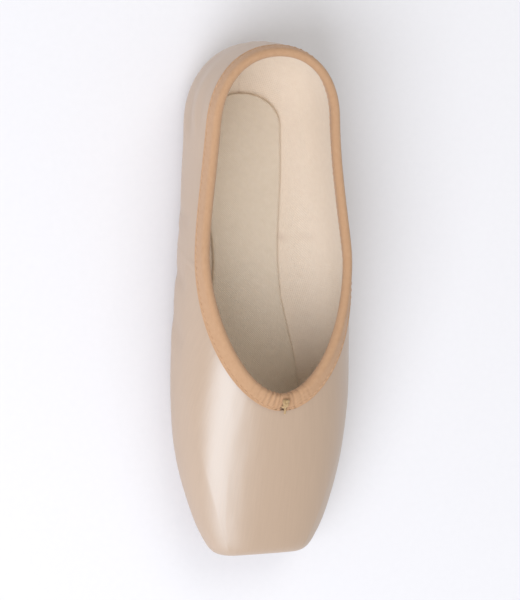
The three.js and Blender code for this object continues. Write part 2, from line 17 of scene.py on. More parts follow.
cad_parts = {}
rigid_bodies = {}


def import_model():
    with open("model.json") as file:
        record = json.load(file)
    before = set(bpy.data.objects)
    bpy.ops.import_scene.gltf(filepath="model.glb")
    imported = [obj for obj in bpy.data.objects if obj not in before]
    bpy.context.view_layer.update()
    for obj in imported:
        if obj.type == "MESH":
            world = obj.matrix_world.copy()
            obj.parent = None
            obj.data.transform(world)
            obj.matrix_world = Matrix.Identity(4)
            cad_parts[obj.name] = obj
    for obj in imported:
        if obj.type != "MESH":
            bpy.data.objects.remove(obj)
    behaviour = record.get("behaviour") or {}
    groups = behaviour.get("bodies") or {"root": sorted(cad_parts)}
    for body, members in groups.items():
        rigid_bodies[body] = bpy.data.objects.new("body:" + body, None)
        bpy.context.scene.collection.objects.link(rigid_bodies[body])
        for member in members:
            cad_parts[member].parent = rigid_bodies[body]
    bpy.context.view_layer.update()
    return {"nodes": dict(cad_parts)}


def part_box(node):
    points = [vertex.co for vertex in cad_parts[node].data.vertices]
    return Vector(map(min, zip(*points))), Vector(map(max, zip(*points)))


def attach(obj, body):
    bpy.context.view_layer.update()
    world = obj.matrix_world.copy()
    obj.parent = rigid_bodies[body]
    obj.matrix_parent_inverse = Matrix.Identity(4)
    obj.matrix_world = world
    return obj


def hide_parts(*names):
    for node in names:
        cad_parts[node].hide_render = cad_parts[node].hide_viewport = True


# Blender works in metres, and the lines and sizes of this shoe are in millimetres
MM = 0.001

for leftover in list(bpy.data.objects):
    bpy.data.objects.remove(leftover)
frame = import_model()
nodes = frame["nodes"]
print("nodes:", sorted(nodes))

# %% [markdown]
# ## Camera
# The picture looks at the vamp of a shoe that is up on its platform. This shoe stands on its sole, so the same
# view of it comes from above: the camera looks down on the vamp, a little from one side, with the toe towards
# the bottom of the picture. A long lens from far away keeps the sides nearly parallel, as in the picture.

# %% Camera
# From straight above, the camera turns to the left of the picture, tips towards the heel and rolls about its
# own axis. Its distance and aim are in metres, its lens and sensor in millimetres.
CAMERA_TURN = math.radians(21)
CAMERA_TIP = math.radians(4)
CAMERA_ROLL = math.radians(1.2)
CAMERA_DISTANCE = 1.5
AIM = Vector((0, -0.0005, 0.026))
LENS_LENGTH = 203
SENSOR_WIDTH = 36

to_camera = Vector((
    -math.sin(CAMERA_TURN) * math.cos(CAMERA_TIP),
    math.sin(CAMERA_TIP),
    math.cos(CAMERA_TURN) * math.cos(CAMERA_TIP),
))
up = (Vector((0, 1, 0)) - to_camera * to_camera.y).normalized()
right = up.cross(to_camera)
rolled_up = up * math.cos(CAMERA_ROLL) + right * math.sin(CAMERA_ROLL)
rolled_right = rolled_up.cross(to_camera)

bpy.ops.object.camera_add(location=AIM + to_camera * CAMERA_DISTANCE)
camera = bpy.context.object
camera.name = "camera"
camera.rotation_mode = "QUATERNION"
camera.rotation_quaternion = Matrix((rolled_right, rolled_up, to_camera)).transposed().to_quaternion()
camera.data.lens = LENS_LENGTH
camera.data.sensor_width = SENSOR_WIDTH
camera.data.clip_start = 0.05
camera.data.clip_end = 20
bpy.context.scene.camera = camera
print("camera at", [round(v, 3) for v in camera.location])

# %% [markdown]
# ## Floor and light
# The shoe stands on a plain pale studio floor. One big soft light from the left of the picture makes the long
# highlight on the vamp, a weaker one fills the other side, and a nearly white world keeps the shadows pale.

# %% Floor and light
def linear(hex_colour):
    """Turns an sRGB hex colour into the linear values that a shader wants."""
    values = [int(hex_colour[k:k + 2], 16) / 255 for k in (0, 2, 4)]
    return [v / 12.92 if v <= 0.04045 else ((v + 0.055) / 1.055) ** 2.4 for v in values] + [1]


def deselect_all():
    """Leaves nothing selected, so that the next operator acts on the next object alone."""
    for thing in bpy.context.selected_objects:
        thing.select_set(False)


deselect_all()
bpy.ops.mesh.primitive_plane_add(size=6)
floor = bpy.context.object
floor.name = "studio_floor"

world = bpy.data.worlds.new("studio")
bpy.context.scene.world = world
world.use_nodes = True
background = world.node_tree.nodes["Background"]
background.inputs["Color"].default_value = linear("f8f6f4")
background.inputs["Strength"].default_value = 0.56
bpy.context.scene.view_settings.view_transform = "Standard"

VAMP = Vector((0, -0.05, 0.03))


def soft_light(name, place, length, width, power, colour):
    """Adds a soft box that points at the vamp, its length along the shoe. In metres and watts."""
    bpy.ops.object.light_add(type="AREA", location=place)
    light = bpy.context.object
    light.name = name
    light.data.shape = "RECTANGLE"
    light.data.size = length
    light.data.size_y = width
    light.data.energy = power
    light.data.color = linear(colour)[:3]
    back = (Vector(place) - VAMP).normalized()
    along = (Vector((0, 1, 0)) - back * back.y).normalized()
    across = back.cross(along)
    light.rotation_mode = "QUATERNION"
    light.rotation_quaternion = Matrix((along, across, back)).transposed().to_quaternion()


soft_light("window_light", (-1.1, -0.95, 1.45), 2.0, 1.5, 39, "f4f7ff")
soft_light("overhead_light", (0.5, 1.3, 2.0), 1.4, 1.4, 9, "fffbf4")

# %% [markdown]
# ## Helpers for meshes
# Creases are given in the shoe's own millimetres. These helpers read a mesh as arrays in millimetres, write it
# back, and tell the outside of a wall from its inside by which way its normals look.

# %% Mesh helpers
def points_mm(mesh):
    """Vertex places as an array in millimetres."""
    flat = np.empty(len(mesh.vertices) * 3)
    mesh.vertices.foreach_get("co", flat)
    return flat.reshape(-1, 3) / MM


def normals_of(mesh):
    """Vertex normals as an array."""
    flat = np.empty(len(mesh.vertices) * 3)
    mesh.vertex_normals.foreach_get("vector", flat)
    return flat.reshape(-1, 3)


def set_points(mesh, places):
    """Writes vertex places given in millimetres."""
    mesh.vertices.foreach_set("co", (places * MM).astype(np.float32).ravel())
    mesh.update()


def set_attribute(mesh, name, values):
    """Stores one number for each vertex, for a material to read."""
    attribute = mesh.attributes.get(name) or mesh.attributes.new(name, "FLOAT", "POINT")
    attribute.data.foreach_set("value", np.asarray(values, dtype=np.float32))


def merged_copy(node, name):
    """Copies a solid and joins its loose corners."""
    deselect_all()
    copy = nodes[node].copy()
    copy.data = nodes[node].data.copy()
    copy.name = copy.data.name = name
    copy.data.materials.clear()
    # The frame's own tags belong to the solid alone
    for key in list(copy.keys()):
        del copy[key]
    copy.parent = None
    bpy.context.scene.collection.objects.link(copy)
    copy.select_set(True)
    bpy.context.view_layer.objects.active = copy
    bpy.ops.mesh.customdata_custom_splitnormals_clear()
    bpy.ops.object.mode_set(mode="EDIT")
    bpy.ops.mesh.select_all(action="SELECT")
    bpy.ops.mesh.remove_doubles(threshold=0.02 * MM)
    bpy.ops.object.mode_set(mode="OBJECT")
    return copy


def subdivided(piece, levels):
    """Smooths a piece with an applied Subdivision Surface."""
    bpy.context.view_layer.objects.active = piece
    modifier = piece.modifiers.new("smooth", "SUBSURF")
    modifier.levels = modifier.render_levels = levels
    bpy.ops.object.modifier_apply(modifier=modifier.name)
    piece.data.shade_smooth()


# A line through the hollow of the shoe: how far it reaches to the front and the back, and its height
HOLLOW_REACH = 66
HOLLOW_HEIGHT = 27


def is_outside(places, normals):
    """True where the wall's face looks away from the line through the hollow."""
    middle = np.zeros_like(places)
    middle[:, 1] = np.clip(places[:, 1], -HOLLOW_REACH, HOLLOW_REACH)
    middle[:, 2] = HOLLOW_HEIGHT
    return ((places - middle) * normals).sum(axis=1) > 0


def distance_to_line(places, line):
    """Distance of each place from a line of points, and how far along the line it lies, from 0 to 1."""
    line = np.asarray(line, dtype=float)
    lengths = np.linalg.norm(np.diff(line, axis=0), axis=1)
    starts = np.concatenate([[0], np.cumsum(lengths)])
    best = np.full(len(places), np.inf)
    along = np.zeros(len(places))
    for k, length in enumerate(lengths):
        step = (line[k + 1] - line[k]) / length
        share = np.clip((places - line[k]) @ step, 0, length)
        distance = np.linalg.norm(places - line[k] - share[:, None] * step, axis=1)
        nearer = distance < best
        best[nearer] = distance[nearer]
        along[nearer] = (starts[k] + share[nearer]) / starts[-1]
    return best, along


def smooth_line(points, steps=6):
    """A Catmull-Rom curve through a few points, as a finer line."""
    points = np.asarray(points, dtype=float)
    padded = np.vstack([2 * points[0] - points[1], points, 2 * points[-1] - points[-2]])
    line = []
    for k in range(1, len(padded) - 2):
        a, b, c, d = padded[k - 1:k + 3]
        for t in np.linspace(0, 1, steps, endpoint=False):
            line.append(0.5 * (2 * b + (c - a) * t + (2 * a - 5 * b + 4 * c - d) * t ** 2
                               + (3 * b - a - 3 * c + d) * t ** 3))
    line.append(points[-1])
    return np.array(line)


def ease(share):
    """Goes from 0 to 1 with a soft start and a soft end."""
    share = np.clip(share, 0, 1)
    return share ** 2 * (3 - 2 * share)


def bump(distance, width):
    """A smooth bump that is 1 where the distance is 0 and dies away about two widths from there."""
    return np.exp(-(distance / width) ** 2)


print("solids in triangles:", {name: len(node.data.polygons) for name, node in nodes.items()})

# %% [markdown]
# ## Upper
# The upper is satin over canvas, stiffened with glue in the box and soft at the quarters. A copy of the solid
# wall is laid out flat as cloth first, so that the satin's threads can follow it, and is then smoothed and
# creased. Sculpting by hand could make the creases too, but lines in millimetres can be measured and moved.

# %% Finding the quads of a tube again
def tube_of_quads(node, name, first, second):
    """Copies a closed tube of triangles and gives it back the quads that it was drawn with.
    The two places, in millimetres, are a first corner of the section at x = 0 and the next one.
    Returns the piece and one row of vertex numbers for each place round the section."""
    piece = merged_copy(node, name)
    mesh = piece.data
    places = points_mm(mesh)
    near = [set() for _ in mesh.vertices]
    for edge in mesh.edges:
        a, b = edge.vertices
        near[a].add(b)
        near[b].add(a)

    def ordered(ring, start, after, behind=None):
        """Walks once round a ring of vertices, from one of them towards another. Each step shares a triangle
        with the ring behind, where that is given."""
        path = [start, after]
        while len(path) < len(ring):
            here = path[-1]
            path.append(next(v for v in near[here] if v in ring and v != path[-2]
                             and (behind is None or near[here] & near[v] & behind)))
        return path

    middle = {k for k in range(len(places)) if abs(places[k, 0]) < 0.05 and places[k, 1] < 0}
    start = min(middle, key=lambda k: np.linalg.norm(places[k] - first))
    after = min(near[start] & middle, key=lambda k: np.linalg.norm(places[k] - second))
    rings = [ordered(middle, start, after)]
    used = set(rings[0])
    while True:
        last = rings[-1]
        ahead = {v for k in last for v in near[k]} - used
        if len(rings) == 1:
            ahead = {v for v in ahead if places[v, 0] > 0}
        if not ahead:
            break
        behind = set(last)
        start = next(iter(ahead))
        after = next(v for v in near[start] if v in ahead and near[start] & near[v] & behind)
        ring = ordered(ahead, start, after, behind)
        turns = [np.roll(way, k) for way in (ring, ring[::-1]) for k in range(len(ring))]
        gaps = [np.linalg.norm(places[way] - places[last], axis=1).sum() for way in turns]
        rings.append(list(turns[int(np.argmin(gaps))]))
        used |= set(ring)
    grid = np.array(rings).T
    across, along = np.roll(grid, -1, axis=0), np.roll(grid, -1, axis=1)
    both = np.roll(across, -1, axis=1)
    quads = np.stack([grid, across, both, along], axis=-1).reshape(-1, 4)
    mesh.clear_geometry()
    mesh.from_pydata(places * MM, [], quads.tolist())
    mesh.validate()
    corners = places[quads]
    facing = np.cross(corners[:, 2] - corners[:, 0], corners[:, 3] - corners[:, 1])
    if (corners.mean(axis=1) * facing).sum() < 0:
        mesh.flip_normals()
    return piece, grid


TURNED_EDGE = (0, -86, 6)
NEXT_ROW = (0, -90.3, 6.4)
upper, grid = tube_of_quads("upper", "satin_upper", TURNED_EDGE, NEXT_ROW)
ROWS = grid.shape[0] // 2
RIBS = grid.shape[1]
print("upper grid:", grid.shape, "quads:", len(upper.data.polygons))

# %% Laying the satin and the lining out flat
# The cloth is cut along the seams, where the satin turns in to the lining, and in darts under the toe
SIDE_SEAM_RIB = 23
BACK_RIB = RIBS // 2
DART_RIBS = (0, 3, 6, 9, RIBS - 3, RIBS - 6, RIBS - 9)
DART_ROWS = 6
seams = [(k, rib) for rib in (BACK_RIB, SIDE_SEAM_RIB, RIBS - SIDE_SEAM_RIB) for k in range(2 * ROWS)]
satin_darts = [(k, rib) for rib in DART_RIBS for k in range(DART_ROWS)]
lining_darts = [(2 * ROWS - 2 - k, rib) for k, rib in satin_darts]
cuts = set()
for row, rib in seams + satin_darts + lining_darts:
    cuts.add(frozenset((int(grid[row, rib]), int(grid[(row + 1) % (2 * ROWS), rib]))))
for row in (0, ROWS - 1, ROWS, 2 * ROWS - 1):
    for rib in range(RIBS):
        cuts.add(frozenset((int(grid[row, rib]), int(grid[row, (rib + 1) % RIBS]))))
for edge in upper.data.edges:
    edge.use_seam = frozenset(edge.vertices) in cuts
upper.data.uv_layers.new(name="cloth")
bpy.context.view_layer.objects.active = upper
bpy.ops.object.mode_set(mode="EDIT")
bpy.ops.mesh.select_all(action="SELECT")
bpy.ops.uv.unwrap(method="MINIMUM_STRETCH", iterations=12)
bpy.ops.uv.select_all(action="SELECT")
bpy.ops.uv.average_islands_scale()
bpy.ops.object.mode_set(mode="OBJECT")


def cloth_in_mm(piece, panels):
    """Turns each panel of a flat layout so that its threads run along the shoe, and scales it to mm."""
    mesh = piece.data
    layer = mesh.uv_layers["cloth"]
    uv = np.empty(len(mesh.loops) * 2)
    layer.data.foreach_get("uv", uv)
    uv = uv.reshape(-1, 2)
    corner = np.empty(len(mesh.loops), dtype=int)
    mesh.loops.foreach_get("vertex_index", corner)
    places = points_mm(mesh)[corner]
    for corners in panels:
        flat = uv[corners] - uv[corners].mean(axis=0)
        along = places[corners, 1] - places[corners, 1].mean()
        slope = np.linalg.lstsq(flat, along, rcond=None)[0]
        length = np.linalg.norm(slope)
        upward = slope / length
        sideways = np.array([upward[1], -upward[0]])
        uv[corners] = np.stack([flat @ sideways, flat @ upward], axis=1) * length
    layer.data.foreach_set("uv", uv.ravel())
    return uv


corners_of = {}
for face in upper.data.polygons:
    row, rib = divmod(face.index, RIBS)
    cloth = "satin" if row < ROWS - 1 else "lining" if ROWS <= row < 2 * ROWS - 1 else "edge"
    panel = "left quarter" if rib < BACK_RIB else "right quarter"
    if rib < SIDE_SEAM_RIB or rib >= RIBS - SIDE_SEAM_RIB:
        panel = "vamp"
    corners_of.setdefault((cloth, panel), []).extend(face.loop_indices)
    face.material_index = 1 if cloth == "lining" else 0
flat = cloth_in_mm(upper, [np.array(corners) for corners in corners_of.values()])
for (cloth, panel), corners in corners_of.items():
    if cloth != "edge":
        print(cloth, panel, "laid flat, mm:", np.ptp(flat[corners], axis=0).round(0))

# %% Upper, smoothed
# Two empty slots keep each face's slot number until the satin and the lining fill them
for _ in range(2):
    upper.data.materials.append(None)
for edge in upper.data.edges:
    edge.use_seam = False
subdivided(upper, 2)
print("smoothed upper, faces:", len(upper.data.polygons))

# %% Lines of the seams and folds, in the shoe's millimetres
# The side seams lean forward as they rise. The back seam runs up the middle of the heel.
SIDE_SEAMS = [smooth_line([(side * 17, 26, 5.6), (side * 27, 26, 9), (side * 35, 24.5, 17),
                           (side * 38.5, 22, 27), (side * 38, 18, 38), (side * 35, 14, 48)])
              for side in (-1, 1)]
BACK_SEAM = smooth_line([(0, 88, 3.5), (0, 100, 5.5), (0, 108.5, 12), (0, 113.4, 22), (0, 113.6, 32),
                         (0, 111, 46), (0, 109, 56)])

# Pleats: the satin is gathered in under the toe and held by the sole's tip. Each pleat has three pairs of x
# and station. A station is the distance from the platform, which lies this far in front of the shoe's middle.
PLATFORM = 114
PLEAT_STATIONS = (
    ((2.6, 21), (3.4, 11), (4.6, 0.5)), ((-2.2, 21), (-3.8, 11), (-6.4, 0.5)),
    ((7.4, 22), (10.6, 12.5), (13.9, 2)), ((-7, 22), (-10.4, 12), (-14.9, 2.4)),
    ((12.4, 24.5), (18.4, 16), (23.6, 9)), ((-12, 24.5), (-17.4, 15.4), (-22.4, 7.4)),
    ((17, 29), (24, 22), (28.6, 17)), ((-16.8, 29), (-23.6, 21.6), (-28.8, 16.4)),
)
pleat_lines = [smooth_line([(x, station - PLATFORM, 0) for x, station in pleat], 8)
               for pleat in PLEAT_STATIONS]

# Gathers: short fine folds that fan out from the sole's edge beside the pleats. In plan the tip of the sole
# is half of a superellipse, with this middle, half length, half width and power.
TIP_MIDDLE, TIP_LENGTH, TIP_WIDTH, TIP_POWER = 62, 42, 25.2, 2.2
GATHERS_A_SIDE = 13
gather_lines = []
for side in (-1, 1):
    for k in range(GATHERS_A_SIDE):
        x = 18.2 + 0.55 * k
        station = TIP_MIDDLE - TIP_LENGTH * (1 - (x / TIP_WIDTH) ** TIP_POWER) ** (1 / TIP_POWER)
        reach = 4.6 + 1.3 * math.sin(2.3 * k + side)
        gather_lines.append(np.array([(side * x, station - PLATFORM, 0),
                                      (side * (x + 0.72 * reach), station - PLATFORM - 0.55 * reach, 0)]))
print("side seams:", len(SIDE_SEAMS), "pleats:", len(pleat_lines), "gathers:", len(gather_lines))


# %% Finer faces where the folds are sharp
def refine(piece, chosen, cuts):
    """Cuts the chosen faces into smaller ones that follow the same curve."""
    bpy.context.view_layer.objects.active = piece
    bpy.ops.object.mode_set(mode="EDIT")
    bpy.ops.mesh.select_mode(type="FACE")
    bpy.ops.mesh.select_all(action="DESELECT")
    bpy.ops.object.mode_set(mode="OBJECT")
    piece.data.polygons.foreach_set("select", chosen)
    bpy.ops.object.mode_set(mode="EDIT")
    bpy.ops.mesh.subdivide(number_cuts=cuts, smoothness=1)
    bpy.ops.object.mode_set(mode="OBJECT")


def faces_where(mesh, chosen):
    """True for each face whose corners are all chosen."""
    return [all(chosen[v] for v in face.vertices) for face in mesh.polygons]


def nearest(places, lines):
    """Distance of each place from the nearest of some lines."""
    return np.min([distance_to_line(places, line)[0] for line in lines], axis=0)


# The pleats under the toe lie in a band along this line, and the outer pleats, gathers and seams in bands of
# their own. How far each band reaches from its line, in mm:
TOE_BAND = np.array([(-24, -101, 0), (0, -104, 0), (24, -101, 0)])
TOE_BAND_REACH, PLEAT_REACH, GATHER_REACH, SEAM_REACH = 12.5, 3, 2.4, 3.6
OUTER_PLEATS = slice(4, None)
UNDERSIDE_TOP = 14.5

places = points_mm(upper.data)
outside = is_outside(places, normals_of(upper.data))
plan = places * (1, 1, 0)
finer = nearest(plan, [TOE_BAND]) < TOE_BAND_REACH
finer |= nearest(plan, pleat_lines[OUTER_PLEATS]) < PLEAT_REACH
finer |= nearest(plan, gather_lines) < GATHER_REACH
finer &= places[:, 2] < UNDERSIDE_TOP
finer |= nearest(places, [*SIDE_SEAMS, BACK_SEAM]) < SEAM_REACH
# The sole hides the middle of the underside, so that stays coarse
under_sole = (places[:, 2] < 9) & (places[:, 1] > -84) & (places[:, 1] < 60) & (np.abs(places[:, 0]) < 13)
finer &= outside & ~under_sole
chosen = faces_where(upper.data, finer)
refine(upper, chosen, 3)
print("faces made finer:", sum(chosen),
      "triangles now:", sum(len(face.vertices) - 2 for face in upper.data.polygons))

# %% Pleats and gathers of the upper
# "move" is how far each vertex goes out along its normal, in mm. "trough_shade" is painted shade, from 0 to 1.
places = points_mm(upper.data)
normals = normals_of(upper.data)
plan = places * (1, 1, 0)
outside = is_outside(places, normals)
move = np.zeros(len(places))
trough_shade = np.zeros(len(places))

# Each pleat is lapped: it drops off sharply on the side of the middle and rises slowly on the other. The two
# pairs under the toe and the pair beside them are full deep, and the outermost pair is shallower.
PLEAT_DEPTH = 1.3
FULL_PLEATS = 6
SHALLOW_SHARE = 0.55
STEEP_FLANK, SLOW_FLANK = 0.55, 1.5
GATHER_DEPTH = 0.34
UNDERSIDE_FADE = 4.5
underneath = outside * ease((UNDERSIDE_TOP - places[:, 2]) / UNDERSIDE_FADE)
for k, line in enumerate(pleat_lines):
    distance, along = distance_to_line(plan, line)
    way = line[-1] - line[0]
    aside = np.sign(way[0] * (places[:, 1] - line[0][1]) - way[1] * (places[:, 0] - line[0][0]))
    outer = aside * (1 if line[0][0] < 0 else -1) > 0
    width = np.where(outer, SLOW_FLANK, STEEP_FLANK)
    share = 1 if k < FULL_PLEATS else SHALLOW_SHARE
    depth = PLEAT_DEPTH * share * ease((1 - along) / 0.22) * underneath
    move -= depth * bump(distance, width)
    move += 0.5 * depth * bump(distance - 2.1, 1)
    # Painted shade along the bottom of each pleat
    trough_shade += bump(distance, 0.6) * depth / PLEAT_DEPTH
for line in gather_lines:
    distance, along = distance_to_line(plan, line)
    depth = GATHER_DEPTH * ease((1 - along) / 0.8) * underneath
    move -= depth * bump(distance, 0.28)
    move += 0.5 * depth * bump(distance - 0.6, 0.3)
    # Painted shade along each gather
    trough_shade += 0.7 * bump(distance, 0.25) * depth / GATHER_DEPTH
print("deepest pleat in mm:", round(float(move.min()), 2))


# %% Creases that wear leaves on the upper
def crease(line, depth, width, ridge=0.35, fade=0.25):
    """A trough along a line of the outside, with a soft ridge almost two widths away on each side and a fade at
    both ends. Returns how it moves the vertices and the painted shade that it puts in its trough."""
    distance, along = distance_to_line(places, smooth_line(line))
    across = distance / width
    ends = ease(np.minimum(along, 1 - along) / fade)
    relief = ridge * bump(across - 1.9, 0.9) - bump(across, 1)
    # The second value is painted shade along the trough
    return outside * relief * depth * ends, outside * bump(across, 1) * ends * depth * 0.25


# Drag lines: slantwise on the counter, up the quarter beside the side seam, and along the box above the sole
creases = []
for side in (-1, 1):
    creases += [
        crease([(side * 13, 107, 33), (side * 24, 96, 27), (side * 31, 82, 25), (side * 34, 70, 30)],
               0.75, 4),
        crease([(side * 22, 100, 42), (side * 30, 84, 38), (side * 33, 74, 40)], 0.4, 3.4),
        crease([(side * 33, 44, 13), (side * 36.5, 38, 24), (side * 35.5, 36, 36)], 0.6, 3),
        crease([(side * 34, 34, 12), (side * 38, 31, 22), (side * 37.5, 30, 34)], 0.45, 2.2),
        crease([(side * 35, 14, 13), (side * 39.6, 12, 24), (side * 39, 6, 36)], 0.6, 3),
        crease([(side * 37, -2, 14), (side * 40.5, -10, 24), (side * 40, -22, 33)], 0.45, 4),
        crease([(side * 34, -62, 11), (side * 37.5, -40, 12.5), (side * 37, -14, 12.5), (side * 33, 8, 12)],
               0.55, 5, ridge=0.2),
        crease([(side * 30, 60, 11), (side * 31, 72, 12), (side * 29, 86, 12)], 0.35, 3),
    ]
# Fine wrinkles that run from the back seam round the heel. Each has y and z at the seam, and at its far end.
for y_seam, z_seam, y_end, z_end in ((112, 18, 106, 23), (113, 25, 106, 31), (113, 33, 106, 38),
                                     (111.5, 41, 104, 44), (109, 12, 102, 17)):
    for side in (-1, 1):
        halfway = (side * 8, (y_seam + y_end) / 2 + 1, (z_seam + z_end) / 2)
        creases.append(crease([(side * 1.5, y_seam, z_seam), halfway, (side * 14, y_end, z_end)],
                              0.26, 1.3, fade=0.45))
# Each crease adds its push and its painted shade
for crease_move, crease_shade in creases:
    move += crease_move
    trough_shade += crease_shade
print("creases:", len(creases))

# %% Seams of the upper
# On the satin a seam is a narrow trough where two panels meet, and the edges turned in beside it stand a
# little proud. The lining is sewn along the same lines, about as deep inside as the wall is thick.
LINING_DEPTH = 1.6
for line in (*SIDE_SEAMS, BACK_SEAM):
    distance, along = distance_to_line(places, line)
    move += outside * (0.3 * bump(distance - 1.25, 0.85) - 0.42 * bump(distance, 0.42))
    # Painted shade along the seam's trough on the satin, and along the seam on the lining
    trough_shade += outside * 0.8 * bump(distance, 0.4)
    behind, _ = distance_to_line(places - normals * LINING_DEPTH, line)
    move -= ~outside * 0.25 * bump(behind, 0.6)
    trough_shade += ~outside * 0.7 * bump(behind, 0.5)
print("deepest push in mm:", round(float(move.min()), 2), "highest:", round(float(move.max()), 2))

set_points(upper.data, places + normals * move[:, None])
# The painted shade of the troughs is stored for the satin and the lining to read
set_attribute(upper.data, "trough_shade", np.clip(trough_shade, 0, 1))
upper.data.shade_smooth()
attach(upper, "root")
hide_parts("upper")

# %% [markdown]
# ## Binding
# A cotton tape is folded over the topline and stitched through, and the drawstring runs inside its fold. It
# could be swept along a curve, but the solid already has the tape's true section. So a copy of it is smoothed,
# and its stitches, its puckers and the eyelet of the drawstring are pressed in.

# %% Binding, with its length and girth as cloth coordinates
TAPE_EDGE = (0, -47.6, 50.4)
TAPE_NEXT_ROW = (0, -47.8, 51.3)
binding, tape = tube_of_quads("binding", "cotton_binding", TAPE_EDGE, TAPE_NEXT_ROW)
tape_places = points_mm(binding.data)[tape]
# Rows of the tape's section: its edge and leg outside, the top of its fold, and its leg and edge inside
OUTER_EDGE, OUTER_LEG, FOLD_TOP, INNER_LEG, INNER_EDGE = 1, 2, 4, 8, 9
EDGE_SHARPNESS = 0.45
row_gap = np.linalg.norm(np.roll(tape_places, -1, axis=0) - tape_places, axis=2).mean(axis=1)
rib_gap = np.linalg.norm(np.roll(tape_places, -1, axis=1) - tape_places, axis=2)
rib_gap = rib_gap[[OUTER_EDGE, FOLD_TOP]].mean(axis=0)
tape_girth = np.concatenate([[0], np.cumsum(row_gap)])
tape_length = np.concatenate([[0], np.cumsum(rib_gap)])
layer = binding.data.uv_layers.new(name="cloth")
for face in binding.data.polygons:
    row, rib = divmod(face.index, tape.shape[1])
    spots = {int(tape[(row + j) % len(tape), (rib + i) % tape.shape[1]]): (rib + i, row + j)
             for j in (0, 1) for i in (0, 1)}
    for corner in face.loop_indices:
        i, j = spots[binding.data.loops[corner].vertex_index]
        layer.data[corner].uv = (tape_length[i], tape_girth[j])
# Both cut edges of the tape stay half sharp when it is smoothed
sharp_rows = {int(v): row for row in (0, OUTER_EDGE, INNER_EDGE, INNER_EDGE + 1) for v in tape[row]}
sharpness = binding.data.attributes.new("crease_edge", "FLOAT", "EDGE")
for edge in binding.data.edges:
    a, b = edge.vertices
    if a in sharp_rows and sharp_rows.get(b) == sharp_rows[a]:
        sharpness.data[edge.index].value = EDGE_SHARPNESS
subdivided(binding, 3)
print("tape: length round the topline", round(tape_length[-1]), "mm, girth", round(tape_girth[-1], 1), "mm")

# %% Stitch dimples of the tape
STITCH_IN = 1.1
STITCH_PITCH = 3.1
smooth_tape = points_mm(binding.data)
tape_normals = normals_of(binding.data)
tape_move = np.zeros(len(smooth_tape))
stitch_lines = []
for edge_row, leg_row in ((OUTER_EDGE, OUTER_LEG), (INNER_EDGE, INNER_LEG)):
    step = tape_places[leg_row] - tape_places[edge_row]
    step /= np.linalg.norm(step, axis=1)[:, None]
    line = tape_places[edge_row] + STITCH_IN * step
    stitch_lines.append(smooth_line(np.vstack([line, line[:1]]), 4))
for line in stitch_lines:
    distance, along = distance_to_line(smooth_tape, line)
    total = np.linalg.norm(np.diff(line, axis=0), axis=1).sum()
    puff = 0.75 + 0.25 * np.cos(2 * math.pi * along * round(total / STITCH_PITCH))
    tape_move -= 0.22 * bump(distance, 0.55) * puff
print("stitch lines:", len(stitch_lines), "of", round(total), "mm")

# %% Puckers of the tape beside the knot, and the eyelet
# The puckers lie across the tape where the drawstring is pulled up. Each has its place along the tape from
# the middle of the throat, and its depth. The eyelet is the hole that the drawstring comes out of.
PUCKERS = ((-2.4, 0.2), (-4.2, 0.32), (-6.9, 0.34), (-9.4, 0.24), (-13.2, 0.16), (-17, 0.1),
           (2.6, 0.2), (4.6, 0.22), (8.2, 0.15), (12.6, 0.1))
PUCKER_ROWS = (OUTER_EDGE, OUTER_LEG, 3, FOLD_TOP, 5)
NEAR_RIBS = 9
EYELET = np.array([-0.7, -46.7, 53])
EYELET_DEPTH = 0.55
# Radius of the painted shade inside the eyelet, in mm
EYELET_SHADE_RADIUS = 1.2


def tape_spot(row, across):
    """The place on a row of the tape that lies so far along it from the middle of the throat."""
    rib = np.interp(abs(across), tape_length[:NEAR_RIBS], np.arange(NEAR_RIBS))
    x, y, z = (np.interp(rib, np.arange(NEAR_RIBS), tape_places[row, :NEAR_RIBS, axis]) for axis in range(3))
    return np.array([np.sign(across) * x, y, z])


tape_trough_shade = np.zeros(len(smooth_tape))
for across, depth in PUCKERS:
    line = smooth_line([tape_spot(row, across) for row in PUCKER_ROWS], 5)
    distance, along = distance_to_line(smooth_tape, line)
    trough = bump(distance, 0.55) - 0.6 * bump(distance - 1.15, 0.5)
    tape_move -= depth * trough * np.clip(0.25 + along * 1.2, 0, 1)
    # Painted shade in the trough of each pucker
    tape_trough_shade += 2 * depth * np.clip(trough, 0, 1) * np.clip(along * 1.4, 0, 1)
from_eyelet = np.linalg.norm((smooth_tape - EYELET) * (1, 1, 0.4), axis=1)
tape_move -= EYELET_DEPTH * np.exp(-from_eyelet ** 4)
# The tape keeps its painted shade of the puckers for its material to read
set_attribute(binding.data, "trough_shade", np.clip(tape_trough_shade, 0, 1))
# The eyelet's dark spot is painted shade inside the tape's fold
set_attribute(binding.data, "eyelet_shade", np.exp(-(from_eyelet / EYELET_SHADE_RADIUS) ** 4))
set_points(binding.data, smooth_tape + tape_normals * tape_move[:, None])
binding.data.shade_smooth()
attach(binding, "root")
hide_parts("binding")
print("binding faces:", len(binding.data.polygons), "deepest pucker", round(float(tape_move.min()), 2))

# %% [markdown]
# ## Stitches
# A seam is a row of short loops of thread. One stitch is shaped once, as a thin rod that dips at both ends,
# and is copied along a line on the cloth.

# %% One stitch
STITCH_LENGTH = 2.5
THREAD_RADIUS = 0.22
deselect_all()
bpy.ops.mesh.primitive_cylinder_add(vertices=6, radius=THREAD_RADIUS * MM, depth=STITCH_LENGTH * MM,
                                    end_fill_type="NOTHING", rotation=(0, math.pi / 2, 0))
one_stitch = bpy.context.object
bpy.ops.object.transform_apply(location=False, rotation=True, scale=False)
bpy.ops.object.mode_set(mode="EDIT")
for cut in (0, -0.7, 0.7):
    bpy.ops.mesh.select_all(action="SELECT")
    bpy.ops.mesh.bisect(plane_co=(cut * MM, 0, 0), plane_no=(1, 0, 0))
bpy.ops.object.mode_set(mode="OBJECT")
